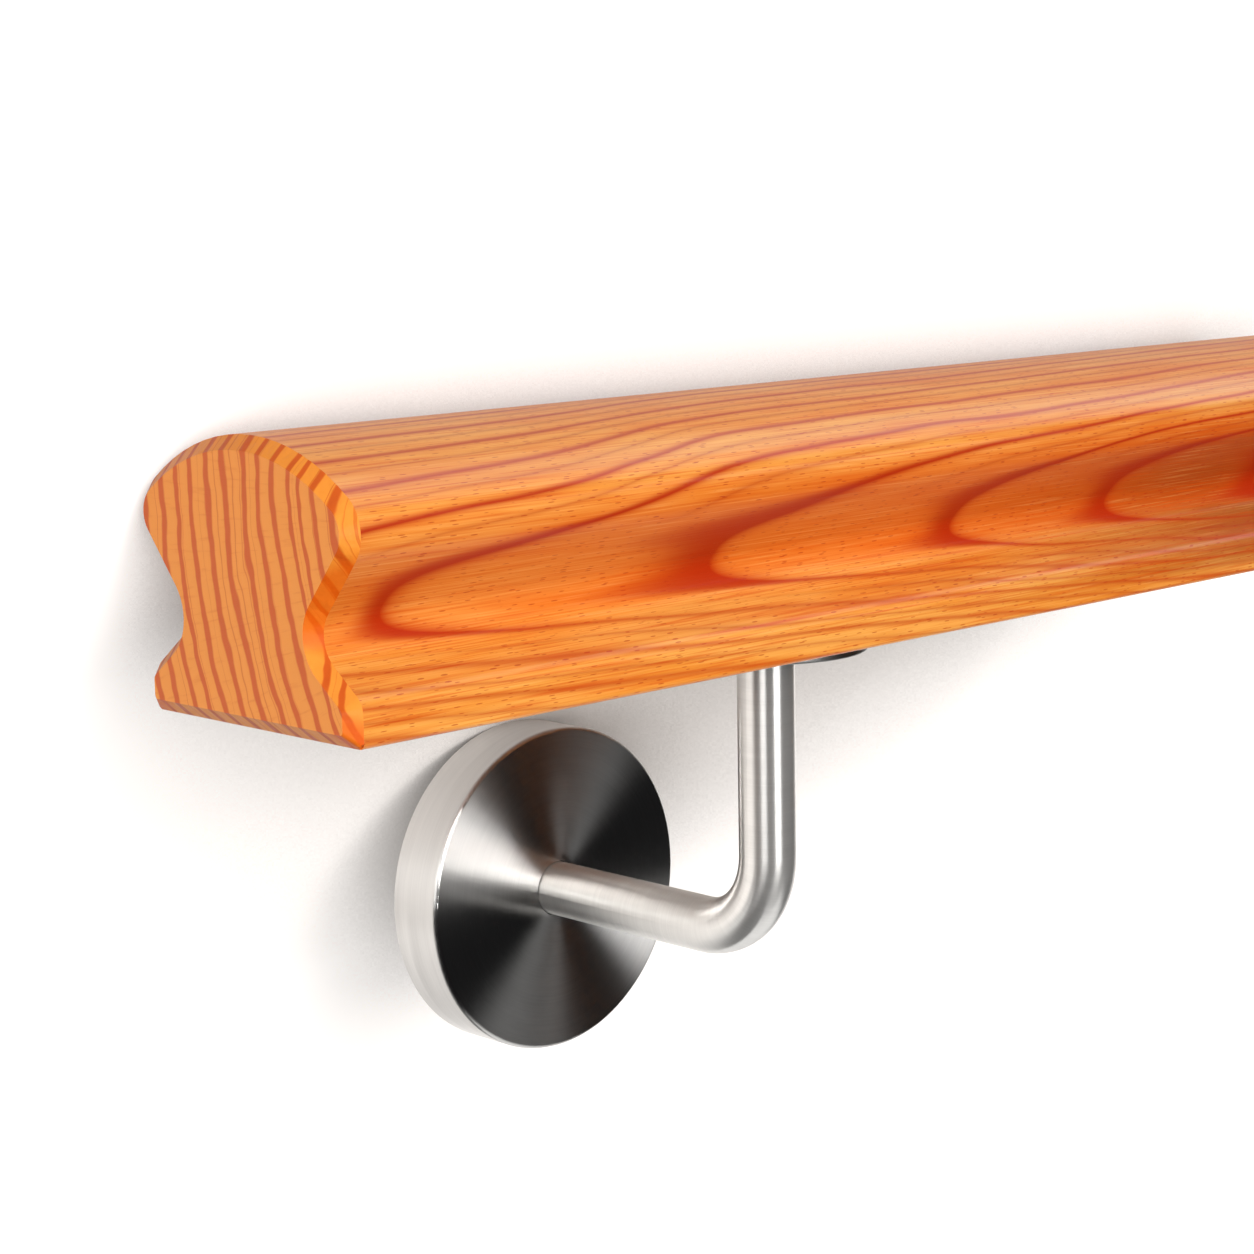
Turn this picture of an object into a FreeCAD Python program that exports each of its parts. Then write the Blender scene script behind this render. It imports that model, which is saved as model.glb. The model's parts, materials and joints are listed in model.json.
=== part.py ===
import FreeCAD, Part
import math
import os

from FreeCAD import Placement, Rotation, Vector

# A short length of moulded timber handrail on its stainless steel wall bracket.
# Everything is drawn as mounted: X runs along the rail towards its near sawn end,
# Y points out of the wall into the room and Z is up. The origin is where the two
# axes of the bent rod cross. At the end the whole is laid on its back, as it
# comes to rest when it is put down on a floor. All sizes are in millimetres.

# Handrail: one piece of solid timber, moulded to a mushroom section
rail_length = 320.0
rail_near_end = 132.0        # from the bracket's upright to the near sawn end
rail_height = 51.0
rail_width = 60.0            # across the rounded head
base_width = 58.0            # across the flat foot
neck_width = 38.6            # between the two finger coves
neck_height = 18.2           # centre of the coves above the underside
dome_radius = 45.0           # crown of the head
shoulder_radius = 7.4        # turn from the crown into the flank
cove_radius = 6.0
foot_radius = 3.6            # turn from the cove into the side of the foot
foot_radius_height = 6.0
arris_radius = 1.2           # softened lower edges
end_bevel = 2.5              # bevel all round the sawn ends

# Bracket: bent round bar between a saddle under the rail and a plate on the wall
rod_diameter = 12.0
bend_radius = 18.0           # to the rod's centre line
wall_reach = 77.5            # from the wall to the upright's axis
rail_rise = 64.5             # from the arm's axis to the rail's underside
rod_end_break = 0.3

# Saddle: a thin round plate, screwed up into the rail
saddle_diameter = 42.0
saddle_thickness = 3.0
saddle_edge_break = 0.4
saddle_screw_spacing = 27.0

# Countersunk wood screws of the saddle
screw_head_diameter = 8.0
screw_shank_diameter = 4.0
screw_core_diameter = 2.8
screw_length = 25.0
screw_tip_length = 4.0
recess_span = 4.6
recess_width = 1.0
recess_depth = 1.3
screw_clearance = 0.1

# Wall plate, hidden under the cover
wall_plate_thickness = 5.0
wall_plate_lead = 1.0        # bevel that the cover is pushed over
wall_hole_diameter = 5.5
wall_hole_sink_diameter = 10.5
wall_hole_circle = 46.0
wall_hole_count = 3

# Cover rosette: a shallow spun cap round the arm, pushed over the wall plate
cover_diameter = 73.0
cover_depth = 13.5
cover_wall = 1.5
cover_edge_radius = 0.9
cover_fit = 0.3              # round the wall plate
cover_bore_fit = 0.25        # round the rod

# Values that follow from the sizes above
rod_radius = rod_diameter / 2
saddle_bottom = rail_rise - saddle_thickness
near_x = rail_near_end
far_x = rail_near_end - rail_length
wall_y = -wall_reach
wall_plate_front = wall_y + wall_plate_thickness
wall_plate_radius = cover_diameter / 2 - cover_wall - cover_fit
head_half = rail_width / 2
crown_centre = rail_height - dome_radius
shoulder_y = head_half - shoulder_radius
shoulder_z = crown_centre + math.sqrt((dome_radius - shoulder_radius) ** 2 - shoulder_y ** 2)


def polar(centre, radius, angle):
    """Point at an angle round a centre, in the (y, z) plane."""
    return (centre[0] + radius * math.cos(angle), centre[1] + radius * math.sin(angle))


def crossing_tangent(first, first_radius, second, second_radius, turn):
    """Ends of the line that touches two circles on opposite sides of itself."""
    across, up = second[0] - first[0], second[1] - first[1]
    angle = math.atan2(up, across)
    angle += turn * math.acos((first_radius + second_radius) / math.hypot(across, up))
    return polar(first, first_radius, angle), polar(second, -second_radius, angle)


def arc_middle(centre, radius, start, end):
    """Point halfway along the short arc between two points of a circle."""
    middle = ((start[0] + end[0]) / 2, (start[1] + end[1]) / 2)
    angle = math.atan2(middle[1] - centre[1], middle[0] - centre[0])
    return polar(centre, radius, angle)


def rail_outline(x):
    """Closed outline of the rail's section, seen along the rail."""
    crown = (0.0, crown_centre)
    shoulder = (shoulder_y, shoulder_z)
    cove = (neck_width / 2 + cove_radius, neck_height)
    foot = (base_width / 2 - foot_radius, foot_radius_height)

    crown_end = polar(crown, dome_radius, math.atan2(shoulder[1] - crown[1], shoulder[0]))
    flank_top, flank_end = crossing_tangent(shoulder, shoulder_radius, cove, cove_radius, 1)
    hollow_end, foot_start = crossing_tangent(cove, cove_radius, foot, foot_radius, -1)
    foot_side = (base_width / 2, foot_radius_height)
    corner = (base_width / 2, 0.0)

    def spot(point, side):
        return Vector(x, side * point[0], rail_rise + point[1])

    def arc(start, middle, end, side):
        return Part.Arc(spot(start, side), spot(middle, side), spot(end, side)).toShape()

    def line(start, end, side):
        return Part.makeLine(spot(start, side), spot(end, side))

    edges = [Part.Arc(spot(crown_end, -1), spot((0.0, rail_height), 1), spot(crown_end, 1)).toShape()]
    for side in (1, -1):
        edges += [
            arc(crown_end, arc_middle(shoulder, shoulder_radius, crown_end, flank_top), flank_top, side),
            line(flank_top, flank_end, side),
            arc(flank_end, arc_middle(cove, cove_radius, flank_end, hollow_end), hollow_end, side),
            line(hollow_end, foot_start, side),
            arc(foot_start, arc_middle(foot, foot_radius, foot_start, foot_side), foot_side, side),
            line(foot_side, corner, side),
        ]
    edges.append(Part.makeLine(spot(corner, 1), spot(corner, -1)))
    return Part.Wire(Part.__sortEdges__(edges))


def lies_at_x(edge, x):
    """True for an edge that lies wholly in the cross plane at x."""
    box = edge.BoundBox
    return abs(box.XMin - x) < 1e-3 and abs(box.XMax - x) < 1e-3


def is_lower_arris(edge):
    """True for the two lower corner edges and their mitres on the end bevels."""
    half = base_width / 2
    ends = [vertex.Point for vertex in edge.Vertexes]
    if len(ends) < 2 or ends[0].y * ends[1].y <= 0:
        return False
    for point in ends:
        height = point.z - rail_rise
        inset = max(0.0, end_bevel - min(near_x - point.x, point.x - far_x))
        if abs(height - inset) > 1e-3 or abs(abs(point.y) - (half - inset)) > 1e-3:
            return False
    return True


def screw_places():
    """Places of the saddle screws along the rail."""
    return (-saddle_screw_spacing / 2, saddle_screw_spacing / 2)


def make_rail():
    """The moulded rail with bevelled ends and blind pilot holes for the screws."""
    section = Part.Face(rail_outline(far_x))
    rail = section.extrude(Vector(rail_length, 0, 0))
    ends = [edge for edge in rail.Edges if lies_at_x(edge, near_x) or lies_at_x(edge, far_x)]
    rail = rail.makeChamfer(end_bevel, ends)
    rail = rail.makeFillet(arris_radius, [edge for edge in rail.Edges if is_lower_arris(edge)])
    pilot_radius = screw_core_diameter / 2 + screw_clearance
    shank_radius = screw_shank_diameter / 2 + screw_clearance
    tip = saddle_bottom + screw_length + screw_clearance
    for x in screw_places():
        floor = tip - screw_tip_length
        pilot = Part.makeCylinder(pilot_radius, floor - rail_rise, Vector(x, 0, rail_rise))
        point = Part.makeCone(pilot_radius, screw_clearance, screw_tip_length, Vector(x, 0, floor))
        mouth = Part.makeCone(shank_radius, pilot_radius, shank_radius - pilot_radius,
                              Vector(x, 0, rail_rise))
        rail = rail.cut(pilot.fuse([point, mouth]))
    return rail


def make_rod():
    """The bar: an arm out of the wall plate, one round bend and an upright."""
    bend_middle = bend_radius * (1 - math.sqrt(0.5))
    arm = Part.makeLine(Vector(0, wall_plate_front, 0), Vector(0, -bend_radius, 0))
    bend = Part.Arc(Vector(0, -bend_radius, 0), Vector(0, -bend_middle, bend_middle),
                    Vector(0, 0, bend_radius)).toShape()
    upright = Part.makeLine(Vector(0, 0, bend_radius), Vector(0, 0, saddle_bottom))
    ring = Part.Wire(Part.makeCircle(rod_radius, Vector(0, wall_plate_front, 0), Vector(0, 1, 0)))
    rod = Part.Wire([arm, bend, upright]).makePipeShell([ring], True, True)
    ends = [edge for edge in rod.Edges
            if abs(edge.BoundBox.YMax - wall_plate_front) < 0.01
            or abs(edge.BoundBox.ZMin - saddle_bottom) < 0.01]
    return rod.makeChamfer(rod_end_break, ends)


def countersink(hole_diameter, sink_diameter, depth, at, axis):
    """A through hole that widens at 90 degrees towards the face at its start."""
    hole, sink = hole_diameter / 2, sink_diameter / 2
    cone = Part.makeCone(sink, hole, sink - hole, at, axis)
    return cone.fuse(Part.makeCylinder(hole, depth, at, axis))


def make_saddle():
    """Round plate under the rail, countersunk from below."""
    low = saddle_bottom
    plate = Part.makeCylinder(saddle_diameter / 2, saddle_thickness, Vector(0, 0, low))
    rim = [edge for edge in plate.Edges if edge.BoundBox.ZMax < low + 0.01]
    plate = plate.makeFillet(saddle_edge_break, rim)
    for x in screw_places():
        plate = plate.cut(countersink(screw_shank_diameter + 2 * screw_clearance,
                                      screw_head_diameter + 2 * screw_clearance,
                                      saddle_thickness, Vector(x, 0, low), Vector(0, 0, 1)))
    return plate


def make_saddle_screw(x):
    """Countersunk wood screw, driven up through the saddle plate, with a cross recess."""
    head, shank, core = screw_head_diameter / 2, screw_shank_diameter / 2, screw_core_diameter / 2
    low = saddle_bottom
    neck = low + head - shank
    top_of_shank = rail_rise
    tip = low + screw_length
    half_section = Part.makePolygon([
        Vector(x, 0, low), Vector(x + head, 0, low), Vector(x + shank, 0, neck),
        Vector(x + shank, 0, top_of_shank), Vector(x + core, 0, top_of_shank + shank - core),
        Vector(x + core, 0, tip - screw_tip_length), Vector(x, 0, tip), Vector(x, 0, low),
    ])
    screw = Part.Face(half_section).revolve(Vector(x, 0, 0), Vector(0, 0, 1), 360)
    for angle in (0, 90):
        slot = Part.makeBox(recess_span, recess_width, recess_depth,
                            Vector(-recess_span / 2, -recess_width / 2, 0))
        slot.Placement = Placement(Vector(x, 0, low), Rotation(Vector(0, 0, 1), angle)).multiply(slot.Placement)
        screw = screw.cut(slot)
    return screw


def make_wall_plate():
    """Round plate that is screwed to the wall and carries the arm."""
    out = Vector(0, 1, 0)
    plate = Part.makeCylinder(wall_plate_radius, wall_plate_thickness, Vector(0, wall_y, 0), out)
    front = [edge for edge in plate.Edges if edge.BoundBox.YMin > wall_plate_front - 0.01]
    plate = plate.makeChamfer(wall_plate_lead, front)
    for step in range(wall_hole_count):
        across, up = polar((0, 0), wall_hole_circle / 2, math.radians(90 + step * 360 / wall_hole_count))
        plate = plate.cut(countersink(wall_hole_diameter, wall_hole_sink_diameter, wall_plate_thickness,
                                      Vector(across, wall_plate_front, up), Vector(0, -1, 0)))
    return plate


def make_cover():
    """The spun cap: a revolved section with a rounded front edge and a bore for the arm."""
    outer, inner = cover_diameter / 2, cover_diameter / 2 - cover_wall
    bore = rod_radius + cover_bore_fit
    front = wall_y + cover_depth
    back_of_face = front - cover_wall
    turn = cover_edge_radius * (1 - math.sqrt(0.5))

    def spot(radius, y):
        return Vector(radius, y, 0)

    section = Part.Wire([
        Part.makeLine(spot(bore, front), spot(outer - cover_edge_radius, front)),
        Part.Arc(spot(outer - cover_edge_radius, front), spot(outer - turn, front - turn),
                 spot(outer, front - cover_edge_radius)).toShape(),
        Part.makeLine(spot(outer, front - cover_edge_radius), spot(outer, wall_y)),
        Part.makeLine(spot(outer, wall_y), spot(inner, wall_y)),
        Part.makeLine(spot(inner, wall_y), spot(inner, back_of_face)),
        Part.makeLine(spot(inner, back_of_face), spot(bore, back_of_face)),
        Part.makeLine(spot(bore, back_of_face), spot(bore, front)),
    ])
    return Part.Face(section).revolve(Vector(0, 0, 0), Vector(0, 1, 0), 360)


def resting_turn():
    """Angle about X that lays the rail's back shoulder and the cover's top rim on the floor."""
    rim = (wall_y, cover_diameter / 2)
    shoulder = (-shoulder_y, rail_rise + shoulder_z)
    across, up = rim[0] - shoulder[0], rim[1] - shoulder[1]
    towards_floor = math.atan2(up, across) - math.acos(shoulder_radius / math.hypot(across, up))
    return -math.pi / 2 - towards_floor


def main():
    os.makedirs("parts", exist_ok=True)
    far_screw, near_screw = screw_places()
    pieces = {
        "handrail": make_rail(),
        "bracket_rod": make_rod(),
        "saddle_plate": make_saddle(),
        "saddle_screw_far": make_saddle_screw(far_screw),
        "saddle_screw_near": make_saddle_screw(near_screw),
        "wall_plate": make_wall_plate(),
        "cover_rosette": make_cover(),
    }
    turn = math.degrees(resting_turn())
    solids = {name: shape.Solids[0] for name, shape in pieces.items()}
    for solid in solids.values():
        solid.rotate(Vector(0, 0, 0), Vector(1, 0, 0), turn)
    box = Part.makeCompound(list(solids.values())).optimalBoundingBox(False, False)
    seat = Vector(-(box.XMin + box.XMax) / 2, -(box.YMin + box.YMax) / 2, -box.ZMin)
    for name, solid in solids.items():
        solid.translate(seat)
        print(name, solid.isValid(), round(solid.Volume / 1000, 2), "cm3")
        solid.exportStep("parts/" + name + ".step")
    print("laid down by", round(turn, 3), "degrees, moved by",
          [round(value, 3) for value in (seat.x, seat.y, seat.z)])
    print("box", [round(value, 3) for value in (box.XLength, box.YLength, box.ZLength)])


main()
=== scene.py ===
import json
import logging
import math
from dataclasses import dataclass
from enum import Enum
from typing import Any, Sequence, Union

import bpy
from mathutils import Matrix, Vector

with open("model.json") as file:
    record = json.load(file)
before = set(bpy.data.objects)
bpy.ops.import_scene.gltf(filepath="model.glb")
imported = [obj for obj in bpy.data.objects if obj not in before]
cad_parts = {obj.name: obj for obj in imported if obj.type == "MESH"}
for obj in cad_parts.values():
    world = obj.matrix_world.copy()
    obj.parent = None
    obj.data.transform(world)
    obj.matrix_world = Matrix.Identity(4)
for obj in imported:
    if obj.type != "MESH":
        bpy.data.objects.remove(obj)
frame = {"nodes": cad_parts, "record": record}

log = logging.getLogger("handrail_scene")

Socket = bpy.types.NodeSocket
Value = Union[float, Sequence[float], Socket]
Colour = tuple[float, float, float, float]
Point = tuple[float, float]
Curve = tuple[Point, ...]


def tone(red: int, green: int, blue: int) -> Colour:
    """Turns a colour as it is seen on a screen into the linear one that a shader takes.

    Args:
        red: Red, 0 to 255.
        green: Green, 0 to 255.
        blue: Blue, 0 to 255.

    Returns:
        The linear colour with an alpha of 1.
    """
    linear = []
    for channel in (red, green, blue):
        share = channel / 255
        linear.append(share / 12.92 if share <= 0.04045 else ((share + 0.055) / 1.055) ** 2.4)
    return (linear[0], linear[1], linear[2], 1.0)


@dataclass(frozen=True)
class Mounting:
    """The rail as it hangs on its wall: X along it, Y out of the wall, Z up, in millimetres.

    The origin is where the two axes of the bent rod cross. The part lies on its back in the
    row frame, so these axes are turned about X.
    """

    origin: Vector
    turn: float

    @classmethod
    def from_record(cls, record: dict[str, Any], wall_reach: float) -> "Mounting":
        """Reads the placing from the record's wall face.

        Args:
            record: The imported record.
            wall_reach: Distance from the wall to the origin in millimetres.

        Returns:
            The placing of the mounted axes in the row frame.
        """
        face = next(mount for mount in record["mounts"] if mount["name"] == "wall_face")
        outwards = -Vector(face["axis"])
        origin = Vector(face["pos_m"]) + outwards * wall_reach / 1000
        return cls(origin, math.atan2(outwards.z, outwards.y))

    def rotation(self) -> Matrix:
        """The turn from mounted directions to those of the row frame."""
        return Matrix.Rotation(self.turn, 3, "X")

    def place(self, x: float, y: float, z: float) -> Vector:
        """A mounted point, in millimetres, as a point of the row frame in metres."""
        return self.origin + self.rotation() @ Vector((x, y, z)) / 1000

    def direction(self, azimuth: float, elevation: float) -> Vector:
        """A mounted direction given by its angle from +X towards +Y and its angle above the level.

        Args:
            azimuth: Angle from +X towards +Y in degrees.
            elevation: Angle above the level plane in degrees.

        Returns:
            The unit direction in the row frame.
        """
        side, up = math.radians(azimuth), math.radians(elevation)
        flat = math.cos(up)
        return self.rotation() @ Vector((flat * math.cos(side), flat * math.sin(side), math.sin(up)))


class Graph:
    """Adds nodes to a node tree and wires them, one call for each node."""

    def __init__(self, tree: bpy.types.NodeTree) -> None:
        """Keeps the tree that the nodes go into."""
        self.tree = tree

    def feed(self, socket: Socket, value: Value) -> None:
        """Links a socket to an output, or sets its own value."""
        if isinstance(value, bpy.types.NodeSocket):
            self.tree.links.new(value, socket)
        else:
            socket.default_value = value

    def add(self, kind: str, inputs: dict[Any, Value] | None = None, **settings: Any) -> bpy.types.Node:
        """Adds one node.

        Args:
            kind: The node's type name.
            inputs: Values or outputs for its inputs, by name or index.
            **settings: The node's own properties.

        Returns:
            The new node.
        """
        node = self.tree.nodes.new(kind)
        for name, setting in settings.items():
            setattr(node, name, setting)
        for name, value in (inputs or {}).items():
            self.feed(node.inputs[name], value)
        return node

    def math(self, operation: str, *values: Value) -> Socket:
        """Adds a Math node and returns its output."""
        return self.add("ShaderNodeMath", dict(enumerate(values)), operation=operation).outputs[0]

    def vector(self, operation: str, *values: Value) -> Socket:
        """Adds a Vector Math node and returns its vector output."""
        return self.add("ShaderNodeVectorMath", dict(enumerate(values)), operation=operation).outputs[0]

    def split(self, vector: Socket) -> tuple[Socket, Socket, Socket]:
        """The three parts of a vector."""
        outputs = self.add("ShaderNodeSeparateXYZ", {0: vector}).outputs
        return outputs[0], outputs[1], outputs[2]

    def join(self, x: Value, y: Value, z: Value) -> Socket:
        """A vector from its three parts."""
        return self.add("ShaderNodeCombineXYZ", {0: x, 1: y, 2: z}).outputs[0]

    def remap(self, value: Value, low: float, high: float, first: Value = 0.0, last: Value = 1.0) -> Socket:
        """Eases a value from one range to another.

        Args:
            value: The value to map.
            low: Where the source range starts.
            high: Where it ends; it may lie below low.
            first: The result at low and before it.
            last: The result at high and past it.

        Returns:
            The mapped value.
        """
        inputs = {0: value, 1: low, 2: high, 3: first, 4: last}
        return self.add("ShaderNodeMapRange", inputs, interpolation_type="SMOOTHSTEP").outputs[0]

    def blend(self, share: Value, first: Value, last: Value) -> Socket:
        """Mixes two numbers."""
        return self.add("ShaderNodeMix", {0: share, 2: first, 3: last}).outputs[0]

    def tint(self, share: Value, first: Value, last: Value, kind: str = "MIX") -> Socket:
        """Mixes two colours.

        Args:
            share: How much of the second colour shows.
            first: The colour below.
            last: The colour laid over it.
            kind: The blend type.

        Returns:
            The mixed colour.
        """
        inputs = {0: share, 6: first, 7: last}
        return self.add("ShaderNodeMix", inputs, data_type="RGBA", blend_type=kind).outputs[2]

    def noise(self, vector: Value, detail: float = 2.0, roughness: float = 0.5) -> Socket:
        """Soft noise with one cell to each unit of the vector, 0 to 1."""
        inputs = {"Vector": vector, "Scale": 1.0, "Detail": detail, "Roughness": roughness}
        return self.add("ShaderNodeTexNoise", inputs).outputs[0]

    def line_noise(self, along: Value, detail: float = 2.0) -> Socket:
        """Soft noise along one number, 0 to 1."""
        inputs = {"W": along, "Scale": 1.0, "Detail": detail}
        return self.add("ShaderNodeTexNoise", inputs, noise_dimensions="1D").outputs[0]

    def root_of_squares(self, first: Socket, second: Value) -> Socket:
        """The length of a right triangle's long side."""
        squares = (self.math("POWER", side, 2.0) for side in (first, second))
        return self.math("SQRT", self.math("ADD", *squares))

    def highest(self, first: Value, *others: Value) -> Socket:
        """The greatest of some numbers."""
        for other in others:
            first = self.math("MAXIMUM", first, other)
        return first

    def curve(self, value: Socket, points: Sequence[Point]) -> Socket:
        """Runs a value through a smooth curve.

        Args:
            value: The value to look up.
            points: Places and heights of the curve, in rising order of place.

        Returns:
            The curve's height at the value.
        """
        places = [point[0] for point in points]
        heights = [point[1] for point in points]
        low, high, floor, top = min(places), max(places), min(heights), max(heights)
        node = self.add("ShaderNodeFloatCurve")
        self.feed(node.inputs["Value"], self.span(value, low, high, 0.0, 1.0))
        line = node.mapping.curves[0]
        scaled = [((x - low) / (high - low), (y - floor) / (top - floor)) for x, y in points]
        line.points[0].location = scaled[0]
        line.points[1].location = scaled[-1]
        for spot in scaled[1:-1]:
            line.points.new(*spot)
        node.mapping.update()
        return self.span(node.outputs[0], 0.0, 1.0, floor, top)

    def span(self, value: Value, low: float, high: float, first: float, last: float) -> Socket:
        """Maps a value from one range to another in a straight line."""
        return self.add("ShaderNodeMapRange", {0: value, 1: low, 2: high, 3: first, 4: last}).outputs[0]


class Group:
    """A shader node group with named inputs and outputs, made once and placed where it is needed."""

    def __init__(self, name: str, inputs: Sequence[tuple[str, str, Value]],
                 outputs: Sequence[tuple[str, str]]) -> None:
        """Makes the empty group.

        Args:
            name: The group's name.
            inputs: Name, socket type and default of each input.
            outputs: Name and socket type of each output.
        """
        self.tree = bpy.data.node_groups.new(name, "ShaderNodeTree")
        for label, kind, default in inputs:
            socket = self.tree.interface.new_socket(label, in_out="INPUT", socket_type=kind)
            socket.default_value = default
        for label, kind in outputs:
            self.tree.interface.new_socket(label, in_out="OUTPUT", socket_type=kind)
        self.graph = Graph(self.tree)
        self.inputs = self.tree.nodes.new("NodeGroupInput").outputs
        self.results = self.tree.nodes.new("NodeGroupOutput").inputs

    def give(self, **results: Value) -> None:
        """Wires values to the group's outputs by name."""
        for name, value in results.items():
            self.graph.feed(self.results[name.replace("_", " ").capitalize()], value)

    def use(self, graph: Graph, **inputs: Value) -> bpy.types.Node:
        """Places the group in another tree.

        Args:
            graph: The tree that takes the group.
            **inputs: Values for the group's inputs, by name.

        Returns:
            The group node.
        """
        node = graph.add("ShaderNodeGroup", node_tree=self.tree)
        for name, value in inputs.items():
            graph.feed(node.inputs[name.replace("_", " ").capitalize()], value)
        return node


NUMBER = "NodeSocketFloat"
VECTOR = "NodeSocketVector"
COLOUR = "NodeSocketColor"


def fine_scratches() -> Group:
    """Fine parallel lines, as fine abrasive leaves on steel.

    Returns:
        The group. Line counts across the lines in millimetres and Run along them.
    """
    group = Group("Fine scratches", [("Line", NUMBER, 0.0), ("Run", NUMBER, 0.0), ("Density", NUMBER, 4.0)],
                  [("Mask", NUMBER), ("Bands", NUMBER)])
    graph, inputs = group.graph, group.inputs
    across = graph.math("MULTIPLY", inputs["Line"], inputs["Density"])
    drift = graph.math("MULTIPLY", inputs["Run"], 0.05)
    fine = graph.noise(graph.join(across, drift, 0.0), 3.0, 0.6)
    broad = graph.noise(graph.join(graph.math("MULTIPLY", across, 0.12), drift, 7.0), 2.0)
    group.give(mask=graph.remap(fine, 0.3, 0.7), bands=graph.remap(broad, 0.3, 0.7))
    return group


@dataclass(frozen=True)
class Timber:
    """Orange-brown lacquered softwood, sawn so that its rings arch along the front of the rail."""

    early: Colour = tone(226, 158, 72)
    early_deep: Colour = tone(217, 134, 46)
    late: Colour = tone(162, 34, 4)
    halo: Colour = tone(200, 80, 15)
    # Painted shade for the middle of the room's side, deepening towards the far end.
    front_painted_shade: Colour = tone(206, 82, 10)
    shaded: Colour = tone(132, 48, 12)
    pale: Colour = tone(240, 176, 100)
    end_early: Colour = tone(250, 158, 72)
    end_late: Colour = tone(210, 86, 34)
    bevel_early: Colour = tone(226, 138, 48)
    bevel_late: Colour = tone(190, 72, 14)
    # Painted shade on the bevel's cove and foot.
    bevel_painted_shade: Colour = tone(214, 86, 4)
    fleck: Colour = tone(164, 44, 8)
    coat_by_girth: Curve = ((0, 0.12), (20, 0.15), (29, 1.0), (35, 0.95), (42, 0.2), (56, 0.2),
                            (63, 0.8), (71, 0.85), (79, 0.4), (108.4, 0.3))
    sawn_coat: float = 0.3
    bevel_coat: float = 0.12
    coat_roughness: float = 0.24
    coat_density: float = 1.45
    body_gloss: float = 0.12
    arch_line: float = 52.5
    upper_round: float = 14.0
    upper_step: float = 6.9
    lower_round: float = 9.0
    lower_step: float = 6.0
    heart_out: float = 110.0
    heart_up: float = 46.0
    girth_centre: float = 20.0
    girth_by_angle: Curve = ((-90, 108.4), (-34.6, 79.4), (-22.2, 70), (-14, 60), (9.9, 50), (22.5, 40),
                             (36.9, 30), (54.9, 20), (71.6, 10), (90, 0))
    back_rings: Curve = ((0, 5.84), (35, 11.5), (54, 9.6), (72, 11.6), (108.4, 8.0))
    arch_places: Curve = ((-132, -0.2), (-118, 0), (-37, 1), (35, 2), (89, 3), (148, 4), (188, 4.7))
    crown_places: Curve = ((-132, -0.2), (-90, 0.2), (-60, 0.9), (-30, 1.6), (0, 1.85), (60, 2.2),
                           (120, 2.8), (188, 3.4))
    smear_widths: Curve = ((-132, 3.5), (-112, 4.5), (-80, 9), (-38, 13), (0, 8), (35, 8), (89, 9),
                           (188, 10))
    end_rings: Curve = ((80, 13), (89, 11), (92.5, 10), (95.2, 9), (99.8, 8), (104.2, 7), (108.4, 6),
                        (113.5, 5), (118.6, 4), (123.7, 3), (127.8, 2), (132, 1), (137, 0), (146, -2))
    shaded_by_girth: Curve = ((0, 0.15), (34, 0.2), (46, 0.9), (74, 0.9), (80, 0.0), (108.4, 0.0))

    def girth(self, graph: Graph, across: Socket, height: Socket) -> Socket:
        """Distance round the section from the crown, in millimetres, on either side.

        Args:
            graph: The tree that takes the nodes.
            across: Distance from the middle plane.
            height: Height above the underside.

        Returns:
            The distance along the moulded outline.
        """
        reach = graph.math("ABSOLUTE", across)
        angle = graph.math("ARCTAN2", graph.math("SUBTRACT", height, self.girth_centre), reach)
        degrees = graph.math("MULTIPLY", angle, 180 / math.pi)
        return graph.curve(degrees, self.girth_by_angle)

    def arches(self, graph: Graph, x: Socket, room: Socket, girth: Socket,
               off: Socket) -> tuple[Socket, Socket]:
        """Counts the rings on the long faces: arches in the room's side, straight lines elsewhere.

        Args:
            graph: The tree that takes the nodes.
            x: Place along the rail; the arches open towards its far end, at low x.
            room: 1 on the side towards the room.
            girth: Distance round the section from the crown.
            off: Distance past the middle line of the arches, round the section.

        Returns:
            The ring count, and how much it rises in each millimetre.
        """
        far = graph.math("MULTIPLY", x, -1.0)
        away = graph.math("ABSOLUTE", off)
        above = graph.math("LESS_THAN", off, 0.0)
        rounding = graph.blend(above, self.lower_round, self.upper_round)
        step = graph.blend(above, self.lower_step, self.upper_step)
        cubes = graph.math("ADD", graph.math("POWER", away, 3.0), graph.math("POWER", rounding, 3.0))
        root = graph.math("POWER", cubes, 1 / 3)
        depth = graph.math("DIVIDE", graph.math("SUBTRACT", root, rounding), step)
        fall = graph.math("POWER", graph.math("DIVIDE", away, 28.0), 4.0)
        ease = graph.math("ADD", 0.55, graph.math("DIVIDE", 0.45, graph.math("ADD", fall, 1.0)))
        crown = graph.math("MULTIPLY", graph.remap(away, 9.0, 24.0), above)
        run = graph.blend(crown, graph.curve(far, self.arch_places), graph.curve(far, self.crown_places))
        across = graph.blend(room, graph.curve(girth, self.back_rings), depth)
        lean = graph.math("POWER", graph.math("DIVIDE", away, root), 2.0)
        slope = graph.blend(room, 0.16, graph.math("DIVIDE", lean, step))
        steep = graph.root_of_squares(slope, graph.math("DIVIDE", ease, 68.0))
        return graph.math("SUBTRACT", graph.math("MULTIPLY", run, ease), across), steep

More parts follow.
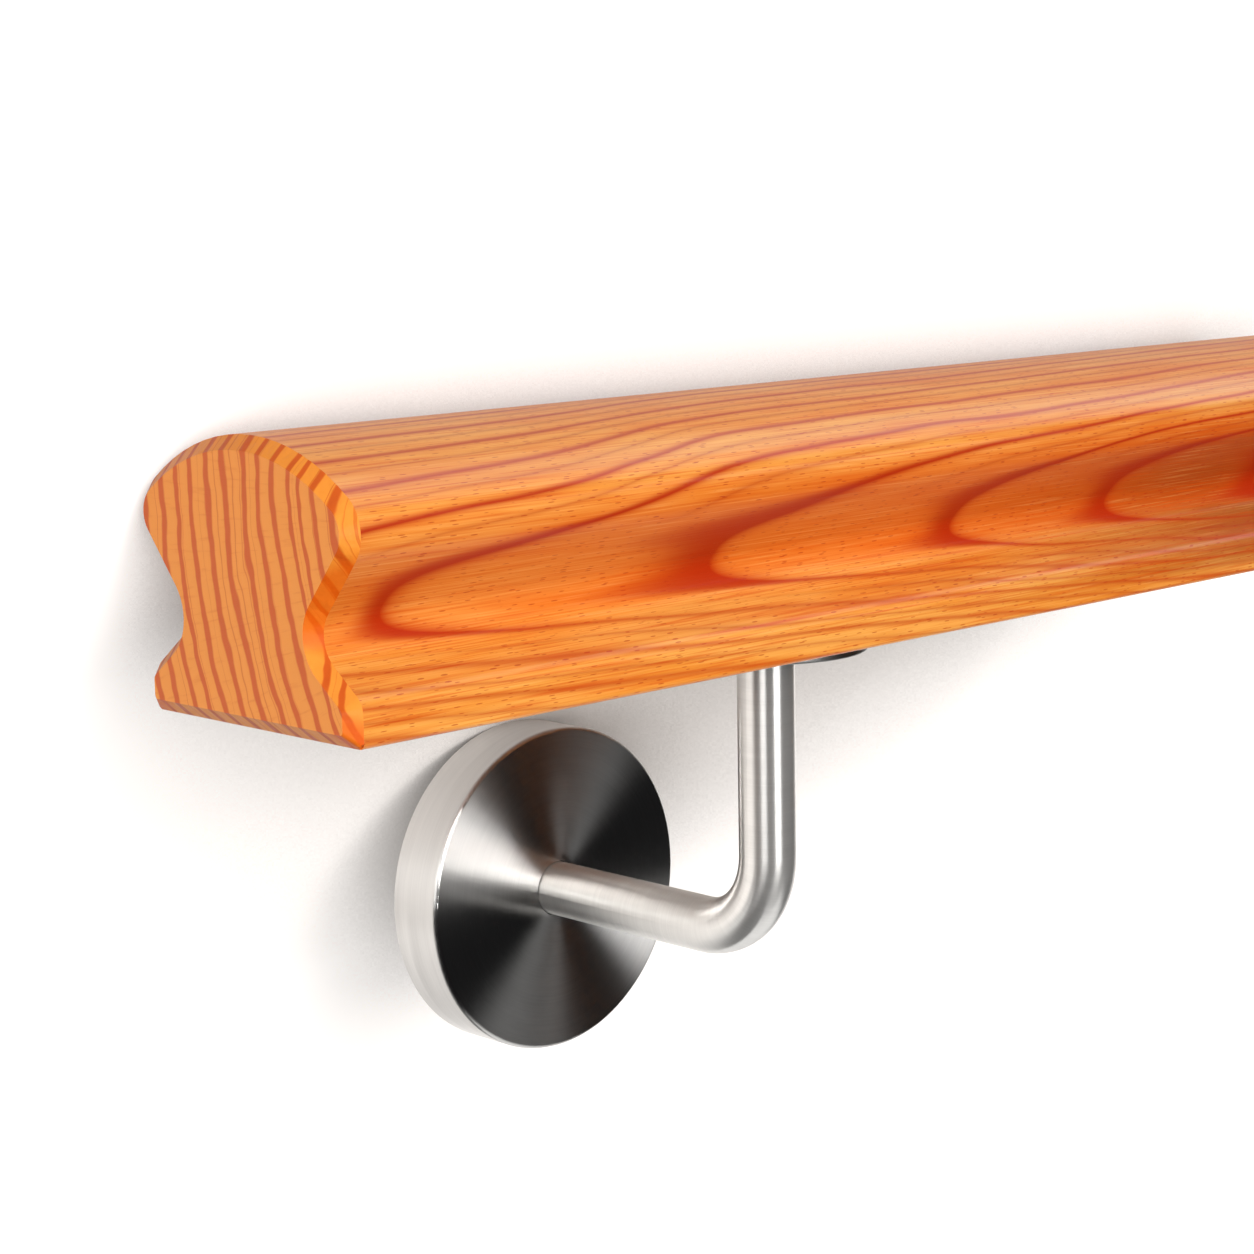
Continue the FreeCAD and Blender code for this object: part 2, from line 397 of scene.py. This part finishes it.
    def long_bands(self, graph: Graph, x: Socket, y: Socket, girth: Socket) -> tuple[Socket, Socket]:
        """Latewood on the long faces, wide and soft at the tip of each arch and thin along its arms.

        Args:
            graph: The tree that takes the nodes.
            x: Place along the rail.
            y: Distance out of the middle plane, towards the room.
            girth: Distance round the section from the crown.

        Returns:
            The masks of the dark core and of the soft halo.
        """
        place = graph.join(graph.math("MULTIPLY", x, 1 / 50), graph.math("MULTIPLY", girth, 1 / 16),
                           graph.math("SIGN", y))
        sway = graph.math("MULTIPLY", graph.math("SUBTRACT", graph.noise(place, 1.0), 0.5), 2.4)
        off = graph.math("SUBTRACT", graph.math("ADD", girth, sway), self.arch_line)
        away = graph.math("ABSOLUTE", off)
        above = graph.math("LESS_THAN", off, 0.0)
        room = graph.remap(y, -1.5, 1.5)
        ring, steep = self.arches(graph, x, room, girth, off)
        share = graph.math("FRACT", ring)
        before = graph.math("DIVIDE", graph.math("SUBTRACT", 1.0, share), steep)
        after = graph.math("DIVIDE", share, steep)
        near = graph.blend(above, graph.remap(away, 9.0, 2.0), graph.remap(away, 15.0, 3.0))
        apex = graph.math("MULTIPLY", near, room)
        smear = graph.curve(graph.math("MULTIPLY", x, -1.0), self.smear_widths)
        width = graph.blend(apex, 0.85, smear)
        halo = self.fade(graph, before, graph.math("MULTIPLY", width, 1.35))
        core = self.fade(graph, graph.math("POWER", graph.math("DIVIDE", before, width), 2.6), 1.0)
        inner = self.fade(graph, after, graph.blend(apex, 0.5, 2.0))
        strength = graph.blend(above, graph.remap(away, 5.0, 13.0, 1.0, 0.5),
                               graph.remap(away, 14.0, 30.0, 1.0, 0.8))
        between = graph.math("DIVIDE", graph.math("ABSOLUTE", graph.math("SUBTRACT", share, 0.45)), steep)
        faint = graph.math("MULTIPLY", self.fade(graph, between, 0.5), graph.remap(away, 9.0, 16.0, 0.0, 0.55))
        core = graph.math("MULTIPLY", graph.highest(core, inner), strength)
        return graph.highest(core, faint), graph.math("MULTIPLY", graph.highest(halo, inner), strength)

    @staticmethod
    def fade(graph: Graph, distance: Value, reach: Value) -> Socket:
        """Falls from 1 at a line to nothing away from it, by a share of 0.37 for each reach."""
        return graph.math("EXPONENT", graph.math("MULTIPLY", graph.math("DIVIDE", distance, reach), -1.0))

    def end_bands(self, graph: Graph, y: Socket, height: Socket) -> tuple[Socket, Socket]:
        """Rings across the sawn ends, round the tree's centre, which lay on the room's side.

        Args:
            graph: The tree that takes the nodes.
            y: Distance out of the middle plane, towards the room.
            height: Height above the underside.

        Returns:
            The mask of the latewood and the mask of the faint rays across it.
        """
        place = graph.join(graph.math("MULTIPLY", y, 0.09), graph.math("MULTIPLY", height, 0.06), 3.0)
        wander = graph.noise(place, 3.0)
        shifted = graph.math("ADD", y, graph.math("MULTIPLY", graph.math("SUBTRACT", wander, 0.5), 4.0))
        out = graph.math("SUBTRACT", self.heart_out, shifted)
        up = graph.math("SUBTRACT", height, self.heart_up)
        radius = graph.root_of_squares(out, up)
        ring = graph.curve(radius, self.end_rings)
        share = graph.math("PINGPONG", ring, 0.5)
        band = graph.remap(share, 0.21, 0.1)
        thin = graph.line_noise(graph.math("MULTIPLY", radius, 1.1), 2.0)
        band = graph.math("MAXIMUM", band, graph.remap(thin, 0.62, 0.72, 0.0, 0.6))
        angle = graph.math("ARCTAN2", up, out)
        place = graph.join(graph.math("MULTIPLY", angle, 160.0), graph.math("MULTIPLY", radius, 0.12), 0.0)
        return band, graph.remap(graph.noise(place, 2.0), 0.55, 0.75)

    @staticmethod
    def grain(graph: Graph, x: Value, girth: Value, length: float, width: float, layer: float) -> Socket:
        """Soft streaks along the grain.

        Args:
            graph: The tree that takes the nodes.
            x: Place along the grain.
            girth: Place across the grain.
            length: Length of a streak in millimetres.
            width: Width of a streak in millimetres.
            layer: Any number, another one for each use.

        Returns:
            The streaks, 0 to 1.
        """
        place = graph.join(graph.math("DIVIDE", x, length), graph.math("DIVIDE", girth, width), layer)
        return graph.noise(place, 3.0, 0.6)

    def flecks(self, graph: Graph, x: Value, girth: Value, length: float, width: float) -> Socket:
        """Short dark pores along the grain.

        Args:
            graph: The tree that takes the nodes.
            x: Place along the grain.
            girth: Place across the grain.
            length: Spacing along the grain.
            width: Spacing across it.

        Returns:
            The mask of the pores.
        """
        place = graph.join(graph.math("DIVIDE", x, length), graph.math("DIVIDE", girth, width), 0.0)
        cells = graph.add("ShaderNodeTexVoronoi", {"Vector": place, "Scale": 1.0}, voronoi_dimensions="2D")
        chance = graph.split(cells.outputs["Color"])[0]
        inside = graph.math("SUBTRACT", graph.remap(chance, 0.1, 1.0, 0.06, 0.17), cells.outputs["Distance"])
        return graph.math("MULTIPLY", graph.remap(inside, 0.0, 0.04), graph.remap(chance, 0.1, 0.6, 0.3, 1.0))

    def material(self, mounting: Mounting, rail_rise: float) -> bpy.types.Material:
        """Makes the lacquered timber.

        Args:
            mounting: The placing of the rail on its wall.
            rail_rise: Height of the rail's underside over the mounting's origin, in millimetres.

        Returns:
            The finished material.
        """
        material = new_material("Lacquered_timber")
        graph = Graph(material.node_tree)
        x, y, z = graph.split(mounted_position(graph, mounting))
        height = graph.math("SUBTRACT", z, rail_rise)
        girth = self.girth(graph, y, height)
        normal = graph.add("ShaderNodeTexCoord").outputs["Normal"]
        facing = graph.math("ABSOLUTE", graph.split(normal)[0])
        end = graph.remap(facing, 0.3, 0.5)
        edge = graph.math("MULTIPLY", end, graph.remap(facing, 0.98, 0.9))
        fibre = self.grain(graph, x, girth, 26.0, 0.4, 5.0)
        pores = self.flecks(graph, x, girth, 5.5, 0.7)
        colour = graph.tint(end, self.face_colour(graph, x, y, girth, fibre, pores),
                            self.end_colour(graph, y, height, girth, edge))

        lump = graph.noise(graph.vector("MULTIPLY", graph.join(x, y, z), (0.45, 0.45, 0.45)), 2.0)
        relief = graph.math("SUBTRACT", graph.math("MULTIPLY", fibre, 0.35), graph.math("MULTIPLY", pores, 0.4))
        dents = graph.math("MULTIPLY", graph.math("MULTIPLY", lump, edge), 6.0)
        bump = graph.add("ShaderNodeBump", {"Strength": 0.25, "Distance": 0.0002,
                                            "Height": graph.math("ADD", relief, dents)})
        coat = graph.blend(end, graph.curve(girth, self.coat_by_girth),
                           graph.blend(edge, self.sawn_coat, self.bevel_coat))
        shader = graph.tree.nodes["Principled BSDF"]
        graph.feed(shader.inputs["Base Color"], colour)
        graph.feed(shader.inputs["Roughness"], graph.blend(fibre, 0.38, 0.5))
        graph.feed(shader.inputs["Specular IOR Level"], self.body_gloss)
        graph.feed(shader.inputs["Coat IOR"], self.coat_density)
        graph.feed(shader.inputs["Coat Weight"], coat)
        graph.feed(shader.inputs["Coat Roughness"], self.coat_roughness)
        graph.feed(shader.inputs["Normal"], bump.outputs[0])
        return material

    def face_colour(self, graph: Graph, x: Socket, y: Socket, girth: Socket, fibre: Socket,
                    pores: Socket) -> Socket:
        """Colours the long faces, with painted shade that makes the middle of the room's side darker and
        redder, and darker still towards its far end.

        Args:
            graph: The tree that takes the nodes.
            x: Place along the rail.
            y: Distance out of the middle plane, towards the room.
            girth: Distance round the section from the crown.
            fibre: The finest streaks, 0 to 1.
            pores: The mask of the pores.

        Returns:
            The colour.
        """
        core, halo = self.long_bands(graph, x, y, girth)
        patch = self.grain(graph, x, girth, 70.0, 9.0, 2.0)
        streak = self.grain(graph, x, girth, 46.0, 1.5, 4.0)
        streaks = graph.math("MULTIPLY", graph.remap(streak, 0.5, 0.72),
                             graph.remap(girth, 57.0, 64.0, 0.22, 0.7))
        room = graph.remap(y, 0.0, 6.0)
        middle = graph.remap(graph.math("ABSOLUTE", graph.math("SUBTRACT", girth, 47.0)), 17.0, 7.0)
        # Painted shade: the middle of the room's side darker and redder, more so towards the far end.
        front_shade_mask = graph.math("MULTIPLY", graph.math("MULTIPLY", middle, room),
                            graph.span(x, 120.0, -150.0, 0.45, 1.0))
        # Painted shade: the lower part of the room's side darkens towards the far end.
        lower = graph.math("MULTIPLY", graph.curve(girth, self.shaded_by_girth), room)
        layers = ((streaks, self.halo), (front_shade_mask, self.front_painted_shade),
                  (graph.math("MULTIPLY", graph.remap(x, -10.0, -185.0), lower), self.shaded),
                  (graph.remap(fibre, 0.48, 0.7, 0.0, 0.6), self.halo),
                  (graph.remap(fibre, 0.5, 0.28, 0.0, 0.3), self.pale),
                  (graph.math("MULTIPLY", halo, 0.75), self.halo),
                  (graph.math("MULTIPLY", core, 0.92), self.late),
                  (graph.math("MULTIPLY", pores, 0.65), self.fleck))
        colour = graph.tint(graph.remap(patch, 0.35, 0.65), self.early, self.early_deep)
        for share, layer in layers:
            colour = graph.tint(share, colour, layer)
        return colour

    def end_colour(self, graph: Graph, y: Socket, height: Socket, girth: Socket, edge: Socket) -> Socket:
        """Colours the sawn ends and the bevel round them, with painted shade on the bevel's cove and foot.

        Args:
            graph: The tree that takes the nodes.
            y: Distance out of the middle plane, towards the room.
            height: Height above the underside.
            girth: Distance round the section from the crown.
            edge: 1 on the bevel.

        Returns:
            The colour.
        """
        band, rays = self.end_bands(graph, y, height)
        sawn = graph.tint(graph.math("MULTIPLY", band, 0.88), self.end_early, self.end_late)
        sawn = graph.tint(graph.math("MULTIPLY", rays, 0.2), sawn, self.end_late)
        cut = graph.tint(graph.math("MULTIPLY", band, 0.9), self.bevel_early, self.bevel_late)
        # Painted shade: the bevel turns deeper orange on the cove and the foot, which face away from the light.
        cove = graph.math("MULTIPLY", graph.remap(girth, 37.0, 42.0), graph.remap(girth, 62.0, 56.0))
        foot = graph.math("MULTIPLY", graph.remap(girth, 73.0, 77.0), graph.remap(girth, 84.0, 79.0))
        cut = graph.tint(graph.math("MULTIPLY", graph.highest(cove, foot), 0.7), cut, self.bevel_painted_shade)
        return graph.tint(edge, sawn, cut)


class Brushing(Enum):
    """How the fine lines run on a steel piece."""

    ROUND_ARM = "round the arm's axis"
    ROUND_BAR = "round the bent bar"
    ALONG_RAIL = "along the rail"


@dataclass(frozen=True)
class Steel:
    """Stainless steel with fine lines."""

    name: str
    brushing: Brushing
    colour: Colour
    roughness: float
    streak: float
    anisotropy: float
    metallic: float = 1.0
    relief: float = 0.15
    line_density: float = 3.2
    line_shade: float = 0.9
    bend_radius: float = 18.0

    def lines(self, graph: Graph, mounting: Mounting) -> tuple[Socket, Socket, Socket]:
        """Places across and along the fine lines, and the direction in which they blur a reflection.

        Args:
            graph: The tree that takes the nodes.
            mounting: The placing of the bracket on its wall.

        Returns:
            The place across the lines, the place along them and the direction along them.
        """
        x, y, z = graph.split(mounted_position(graph, mounting))
        if self.brushing is Brushing.ROUND_ARM:
            across = graph.math("ADD", graph.root_of_squares(x, z), y)
            run = graph.math("MULTIPLY", graph.math("ARCTAN2", z, x), 20.0)
            along = graph.join(z, 0.0, graph.math("MULTIPLY", x, -1.0))
        elif self.brushing is Brushing.ROUND_BAR:
            out = graph.math("MAXIMUM", graph.math("ADD", y, self.bend_radius), 0.0)
            down = graph.math("MAXIMUM", graph.math("SUBTRACT", self.bend_radius, z), 0.0)
            upright = graph.math("MAXIMUM", graph.math("SUBTRACT", z, self.bend_radius), 0.0)
            arm = graph.math("MINIMUM", graph.math("ADD", y, self.bend_radius), 0.0)
            bend = graph.math("MULTIPLY", graph.math("ARCTAN2", out, down), self.bend_radius)
            across = graph.math("ADD", graph.math("ADD", upright, arm), bend)
            offset = graph.math("SUBTRACT", graph.root_of_squares(out, down), self.bend_radius)
            run = graph.math("MULTIPLY", graph.math("ARCTAN2", x, offset), 6.0)
            along = graph.join(0.0, down, out)
        else:
            across, run = y, x
            along = graph.join(1.0, 0.0, 0.0)
        return across, run, turned(graph, along, mounting)

    def material(self, mounting: Mounting, scratches: Group) -> bpy.types.Material:
        """Makes the steel.

        Args:
            mounting: The placing of the bracket on its wall.
            scratches: The group that draws fine lines.

        Returns:
            The finished material.
        """
        material = new_material(self.name)
        graph = Graph(material.node_tree)
        across, run, along = self.lines(graph, mounting)
        marks = scratches.use(graph, line=across, run=run, density=self.line_density)
        fine, bands = marks.outputs["Mask"], marks.outputs["Bands"]
        wear = graph.math("MULTIPLY", graph.math("ADD", fine, bands), 0.5)
        dark = tuple(channel * self.line_shade for channel in self.colour[:3]) + (1.0,)
        roughness = graph.blend(wear, self.roughness - self.streak, self.roughness + self.streak)
        shader = graph.tree.nodes["Principled BSDF"]
        graph.feed(shader.inputs["Base Color"], graph.tint(wear, self.colour, dark))
        graph.feed(shader.inputs["Metallic"], self.metallic)
        graph.feed(shader.inputs["Roughness"], roughness)
        graph.feed(shader.inputs["Anisotropic"], self.anisotropy)
        if self.brushing is not Brushing.ROUND_BAR:
            graph.feed(shader.inputs["Anisotropic Rotation"], 0.25)
        graph.feed(shader.inputs["Tangent"], along)
        bump = graph.add("ShaderNodeBump", {"Strength": self.relief, "Distance": 0.00003, "Height": fine})
        graph.feed(shader.inputs["Normal"], bump.outputs[0])
        return material


def new_material(name: str) -> bpy.types.Material:
    """A material with an empty Principled shader."""
    material = bpy.data.materials.new(name)
    material.use_nodes = True
    return material


def mounted_position(graph: Graph, mounting: Mounting) -> Socket:
    """The shaded point in the mounted axes, in millimetres.

    Args:
        graph: The tree that takes the nodes.
        mounting: The placing of the part on its wall.

    Returns:
        The position, the same on the piece and on its export.
    """
    place = graph.add("ShaderNodeTexCoord").outputs["Object"]
    inputs = {"Vector": place, "Location": mounting.origin, "Rotation": (mounting.turn, 0.0, 0.0),
              "Scale": (0.001, 0.001, 0.001)}
    return graph.add("ShaderNodeMapping", inputs, vector_type="TEXTURE").outputs[0]


def turned(graph: Graph, direction: Socket, mounting: Mounting) -> Socket:
    """A mounted direction, as a unit direction of the row frame."""
    inputs = {"Vector": direction, "Rotation": (mounting.turn, 0.0, 0.0)}
    return graph.add("ShaderNodeMapping", inputs, vector_type="NORMAL").outputs[0]


def dress(node: bpy.types.Object, material: bpy.types.Material) -> None:
    """Gives every face of a CAD node one finish and logs it."""
    node.data.materials.clear()
    node.data.materials.append(material)
    log.info("%s: %d faces, %s", node.name, len(node.data.polygons), material.name)


@dataclass
class Handrail:
    """The moulded rail."""

    rise: float = 64.5
    finish: Timber = Timber()

    def dress(self, nodes: dict[str, bpy.types.Object], mounting: Mounting) -> None:
        """Lacquers the rail.

        Args:
            nodes: The CAD nodes by name.
            mounting: The placing of the rail on its wall.
        """
        dress(nodes["handrail"], self.finish.material(mounting, self.rise))


@dataclass
class Bracket:
    """The bent bar with its saddle, wall plate, cover and screws."""

    wall_reach: float = 77.5
    cover: Steel = Steel("Turned_cover_steel", Brushing.ROUND_ARM, tone(236, 234, 231),
                         roughness=0.3, streak=0.02, anisotropy=1.0)
    bar: Steel = Steel("Satin_bar_steel", Brushing.ROUND_BAR, tone(238, 236, 232),
                       roughness=0.3, streak=0.008, anisotropy=0.85, metallic=0.84, relief=0.03)
    # The plate steel is darker than the bar and cover: painted shade for the saddle plate under the rail.
    plate: Steel = Steel("Plate_steel", Brushing.ALONG_RAIL, tone(140, 140, 138),
                         roughness=0.42, streak=0.06, anisotropy=0.4)
    screw: Steel = Steel("Screw_steel", Brushing.ALONG_RAIL, tone(205, 205, 203),
                         roughness=0.24, streak=0.04, anisotropy=0.0)

    def dress(self, nodes: dict[str, bpy.types.Object], mounting: Mounting) -> None:
        """Finishes the steel pieces.

        Args:
            nodes: The CAD nodes by name.
            mounting: The placing of the bracket on its wall.
        """
        scratches = fine_scratches()
        plate = self.plate.material(mounting, scratches)
        screw = self.screw.material(mounting, scratches)
        dress(nodes["cover_rosette"], self.cover.material(mounting, scratches))
        dress(nodes["bracket_rod"], self.bar.material(mounting, scratches))
        for name in ("saddle_plate", "wall_plate"):
            dress(nodes[name], plate)
        for name in ("saddle_screw_far", "saddle_screw_near"):
            dress(nodes[name], screw)


@dataclass(frozen=True)
class Lamp:
    """A soft box that faces the part."""

    name: str
    azimuth: float
    elevation: float
    distance: float
    width: float
    height: float
    power: float
    matt: bool = True
    mirrored: bool = True

    def place(self, mounting: Mounting, target: Vector) -> None:
        """Hangs the soft box.

        Args:
            mounting: The placing of the part on its wall, in whose axes the angles are.
            target: The point that the box faces.
        """
        data = bpy.data.lights.new(self.name, "AREA")
        data.shape = "RECTANGLE"
        data.size = self.width
        data.size_y = self.height
        data.energy = self.power
        lamp = bpy.data.objects.new(self.name, data)
        away = mounting.direction(self.azimuth, self.elevation)
        upright = mounting.rotation() @ Vector((0.0, 0.0, 1.0))
        right = upright.cross(away).normalized()
        axes = Matrix((right, away.cross(right), away)).transposed()
        lamp.matrix_world = Matrix.Translation(target + away * self.distance) @ axes.to_4x4()
        lamp.visible_camera = False
        lamp.visible_diffuse = self.matt
        lamp.visible_glossy = self.mirrored
        bpy.context.scene.collection.objects.link(lamp)


@dataclass
class Studio:
    """Pale floor, soft light and the camera of the photograph."""

    floor_size: float = 12.0
    floor_tone: Colour = tone(172, 164, 157)
    floor_glow: Colour = tone(255, 254, 253)
    floor_lift: float = 1.0
    mirror_lift: float = 0.9
    # The shade_ fields set the painted shade in the floor's glow.
    shade_reach: float = 0.15
    shade_from: tuple[float, float] = (30.0, 35.0)
    shade_power: float = 2.2
    shade_gain: float = 1.28
    room_seen: Colour = tone(250, 249, 248)
    room_light: Colour = tone(132, 131, 130)
    ceiling: Colour = tone(24, 24, 25)
    card_tone: Colour = tone(14, 14, 14)
    aim: tuple[float, float, float] = (0.0, 0.0, 60.0)
    lens_pixels: float = 2808.0
    image_pixels: float = 1254.0
    sensor: float = 36.0
    camera_place: tuple[float, float, float] = (417.34, 384.85, 158.13)
    yaw: float = 44.464
    pitch: float = 9.189
    roll: float = -1.104
    cards: tuple[tuple[Point, Point, float], ...] = (
        ((1.2, -0.12), (1.2, 0.6), 0.4),
        ((-1.2, -1.5), (-1.2, 0.3), 0.5),
        ((-1.2, -1.1), (0.5, -1.1), 0.6),
    )
    lamps: tuple[Lamp, ...] = (
        Lamp("Key_box", 86.0, 9.0, 3.0, 1.2, 1.15, 48.5),
        Lamp("Fill_box", 50.0, -4.0, 3.0, 2.2, 2.0, 52.0, mirrored=False),
        Lamp("Top_box", 88.0, 32.0, 3.0, 2.4, 1.6, 40.0, mirrored=False),
        Lamp("Back_box", 188.0, -46.0, 3.0, 2.2, 2.0, 46.0, mirrored=False),
        Lamp("Side_box", 30.0, 1.5, 1.6, 0.6, 0.62, 4.1),
        Lamp("Low_box", 155.0, -68.0, 1.6, 1.6, 1.3, 6.5, matt=False),
        Lamp("Fan_box", 139.0, 27.0, 2.0, 0.4, 0.9, 2.5, matt=False),
    )

    def build(self, mounting: Mounting) -> None:
        """Makes the floor, the world, the lamps and the camera.

        Args:
            mounting: The placing of the part on its wall.
        """
        self.make_floor(mounting)
        self.make_cards()
        self.make_world()
        for lamp in self.lamps:
            lamp.place(mounting, mounting.place(*self.aim))
        self.make_camera(mounting)

    def make_floor(self, mounting: Mounting) -> None:
        """A wide white floor that keeps the part's shadow, and whose glow carries painted shade under and
        beside the part.

        Args:
            mounting: The placing of the part on its wall; the painted shade in the floor's glow falls as from
                above in its axes.
        """
        half = self.floor_size / 2
        mesh = bpy.data.meshes.new("Floor")
        corners = [(-half, -half, 0), (half, -half, 0), (half, half, 0), (-half, half, 0)]
        mesh.from_pydata(corners, [], [(0, 1, 2, 3)])
        floor = bpy.data.objects.new("Floor", mesh)
        bpy.context.scene.collection.objects.link(floor)
        material = new_material("Pale_floor")
        graph = Graph(material.node_tree)
        shader = graph.tree.nodes["Principled BSDF"]
        graph.feed(shader.inputs["Base Color"], self.floor_tone)
        graph.feed(shader.inputs["Roughness"], 0.9)
        graph.feed(shader.inputs["Specular IOR Level"], 0.0)
        graph.feed(shader.inputs["Emission Color"], self.floor_glow)
        rays = graph.add("ShaderNodeLightPath").outputs
        mirrored = graph.highest(rays["Is Glossy Ray"], rays["Is Transmission Ray"])
        seen = graph.highest(rays["Is Camera Ray"], graph.math("MULTIPLY", mirrored, self.mirror_lift))
        # Painted shade: the glow dims where ambient occlusion, taken about a direction from above, finds the
        # part near.
        source = mounting.direction(*self.shade_from)
        inputs = {"Distance": self.shade_reach, "Normal": graph.join(*source)}
        painted_shade_occlusion = graph.add("ShaderNodeAmbientOcclusion", inputs, samples=8)
        share = graph.span(painted_shade_occlusion.outputs["AO"], (1 - source.z) / 2, 1.0, 0.0, 1.0)
        glow_with_painted_shade = graph.math("MULTIPLY", graph.math("POWER", share, self.shade_power), self.shade_gain)
        glow_with_painted_shade = graph.math("MINIMUM", glow_with_painted_shade, self.floor_lift)
        graph.feed(shader.inputs["Emission Strength"], graph.math("MULTIPLY", seen, glow_with_painted_shade))
        mesh.materials.append(material)

    def make_cards(self) -> None:
        """Black cards round the part, which only reflections see."""
        material = new_material("Black_card")
        shader = material.node_tree.nodes["Principled BSDF"]
        shader.inputs["Base Color"].default_value = self.card_tone
        shader.inputs["Specular IOR Level"].default_value = 0.0
        for first, last, top in self.cards:
            corners = [(*first, 0.0), (*last, 0.0), (*last, top), (*first, top)]
            mesh = bpy.data.meshes.new("Black_card")
            mesh.from_pydata(corners, [], [(0, 1, 2, 3)])
            mesh.materials.append(material)
            card = bpy.data.objects.new("Black_card", mesh)
            bpy.context.scene.collection.objects.link(card)
            card.visible_camera = card.visible_shadow = card.visible_diffuse = False

    def make_world(self) -> None:
        """A room that is white low down, less so as a light, and dark overhead."""
        world = bpy.data.worlds.new("Room")
        world.use_nodes = True
        graph = Graph(world.node_tree)
        up = graph.split(graph.add("ShaderNodeTexCoord").outputs["Generated"])[2]
        rays = graph.add("ShaderNodeLightPath").outputs
        seen = graph.highest(rays["Is Camera Ray"], rays["Is Glossy Ray"], rays["Is Transmission Ray"])
        band = graph.tint(seen, self.room_light, self.room_seen)
        colour = graph.tint(graph.remap(up, 0.2, 0.26), band, self.ceiling)
        background = graph.tree.nodes["Background"]
        graph.feed(background.inputs["Color"], colour)
        bpy.context.scene.world = world

    def make_camera(self, mounting: Mounting) -> None:
        """The camera at the photograph's place.

        Args:
            mounting: The placing of the part on its wall.
        """
        yaw, pitch, roll = map(math.radians, (self.yaw, self.pitch, self.roll))
        level = Vector((-math.cos(yaw), math.sin(yaw), 0.0))
        ahead = Vector((-math.sin(yaw) * math.cos(pitch), -math.cos(yaw) * math.cos(pitch), -math.sin(pitch)))
        upright = level.cross(ahead)
        right = level * math.cos(roll) + upright * math.sin(roll)
        up = right.cross(ahead)
        axes = mounting.rotation() @ Matrix((right, up, -ahead)).transposed()
        data = bpy.data.cameras.new("Camera")
        data.sensor_width = self.sensor
        data.lens = self.sensor * self.lens_pixels / self.image_pixels
        data.clip_start = 0.01
        camera = bpy.data.objects.new("Camera", data)
        camera.matrix_world = Matrix.Translation(mounting.place(*self.camera_place)) @ axes.to_4x4()
        bpy.context.scene.collection.objects.link(camera)
        bpy.context.scene.camera = camera


def main() -> None:
    """Builds the scene."""
    logging.basicConfig(level=logging.INFO, format="%(message)s")
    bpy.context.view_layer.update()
    bracket = Bracket()
    mounting = Mounting.from_record(frame["record"], bracket.wall_reach)
    Studio().build(mounting)
    Handrail().dress(frame["nodes"], mounting)
    bracket.dress(frame["nodes"], mounting)
    bpy.context.scene.view_settings.view_transform = "Standard"


if __name__ == "__main__":
    main()
